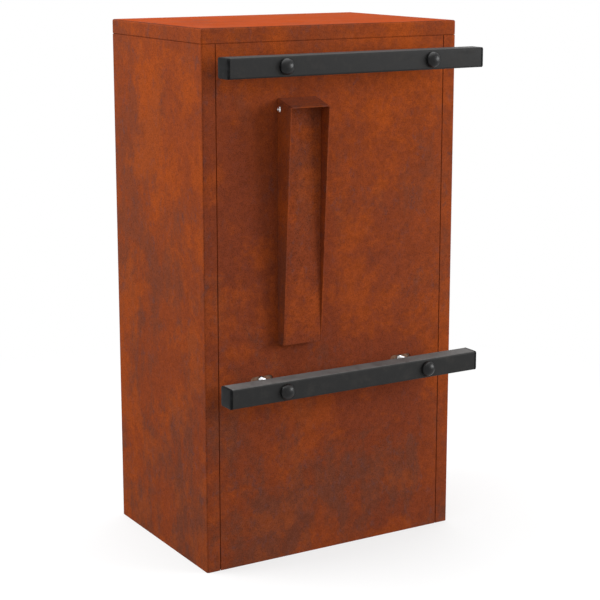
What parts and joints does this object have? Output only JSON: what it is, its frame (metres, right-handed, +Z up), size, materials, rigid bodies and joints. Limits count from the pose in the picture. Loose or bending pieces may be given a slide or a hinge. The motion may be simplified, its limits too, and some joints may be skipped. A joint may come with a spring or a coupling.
{
  "type": "fence mailbox",
  "caption": "Tall rusted-steel mailbox with a roof cap, letter flap and locked door in front, and a hood and black clamp tubes behind for a fence.",
  "frame": {"origin": "centre of the cabinet's underside, on the surface that it stands on", "axes": "+Z up, -Y out of the door and the letter flap, +Y out of the rear panel towards the clamp tubes, +X to the right as seen from the front"},
  "size_m": [0.326, 0.2964, 0.6],
  "materials": {
    "weathering_steel": "matt rust patina on weathering steel, mottled orange brown to grey brown",
    "black_paint": "fine matt black powder coat",
    "black_plastic": "moulded black plastic with a soft gloss",
    "zinc_steel": "bright zinc plate",
    "lock_metal": "nickel-plated, slightly dull"
  },
  "bodies": {
    "cabinet": {"casing": "weathering_steel", "rear_panel": "weathering_steel", "roof_cap": "weathering_steel", "roof_collar": "weathering_steel", "floor_pan": "weathering_steel", "hood_shell": "weathering_steel", "hood_face": "weathering_steel", "hood_bracket": "weathering_steel", "slot_collar": "weathering_steel", "flap_ear_left": "weathering_steel", "flap_ear_right": "weathering_steel", "letter_guard": "weathering_steel", "clamp_tube_upper": "black_paint", "clamp_tube_lower": "black_paint", "tube_plug_upper_left": "black_plastic", "tube_plug_upper_right": "black_plastic", "tube_plug_lower_left": "black_plastic", "tube_plug_lower_right": "black_plastic", "bolt_cap_upper_left": "black_plastic", "bolt_cap_upper_right": "black_plastic", "bolt_cap_lower_left": "black_plastic", "bolt_cap_lower_right": "black_plastic", "clamp_bolt_upper_left": "zinc_steel", "clamp_bolt_upper_right": "zinc_steel", "clamp_bolt_lower_left": "zinc_steel", "clamp_bolt_lower_right": "zinc_steel", "clamp_nut_upper_left": "zinc_steel", "clamp_nut_upper_right": "zinc_steel", "clamp_nut_lower_left": "zinc_steel", "clamp_nut_lower_right": "zinc_steel", "backing_plate_upper_left": "zinc_steel", "backing_plate_upper_right": "zinc_steel", "backing_plate_lower_left": "zinc_steel", "backing_plate_lower_right": "zinc_steel", "hood_screw_left": "zinc_steel", "hood_screw_right": "zinc_steel", "hinge_bracket_upper": "zinc_steel", "hinge_bracket_lower": "zinc_steel", "hinge_pin_upper": "zinc_steel", "hinge_pin_lower": "zinc_steel", "lock_keeper": "zinc_steel", "flap_rod": "zinc_steel"},
    "door": {"door": "weathering_steel", "lock_barrel": "lock_metal", "lock_nut": "zinc_steel"},
    "lock": {"lock_plug": "lock_metal", "lock_cam": "zinc_steel", "cam_screw": "zinc_steel"},
    "flap": {"letter_flap": "weathering_steel"}
  },
  "joints": [
    {"name": "door_hinge", "type": "hinge", "parent": "cabinet", "child": "door", "pos_m": [-0.1245, -0.1039, 0.245], "axis": [0, 0, -1], "range_deg": [0, 100]},
    {"name": "lock_turn", "type": "hinge", "parent": "door", "child": "lock", "pos_m": [0.1095, -0.111, 0.245], "axis": [0, -1, 0], "range_deg": [0, 90]},
    {"name": "flap_hinge", "type": "hinge", "parent": "cabinet", "child": "flap", "pos_m": [0, -0.1153, 0.5343], "axis": [-1, 0, 0], "range_deg": [0, 90]}
  ]
}
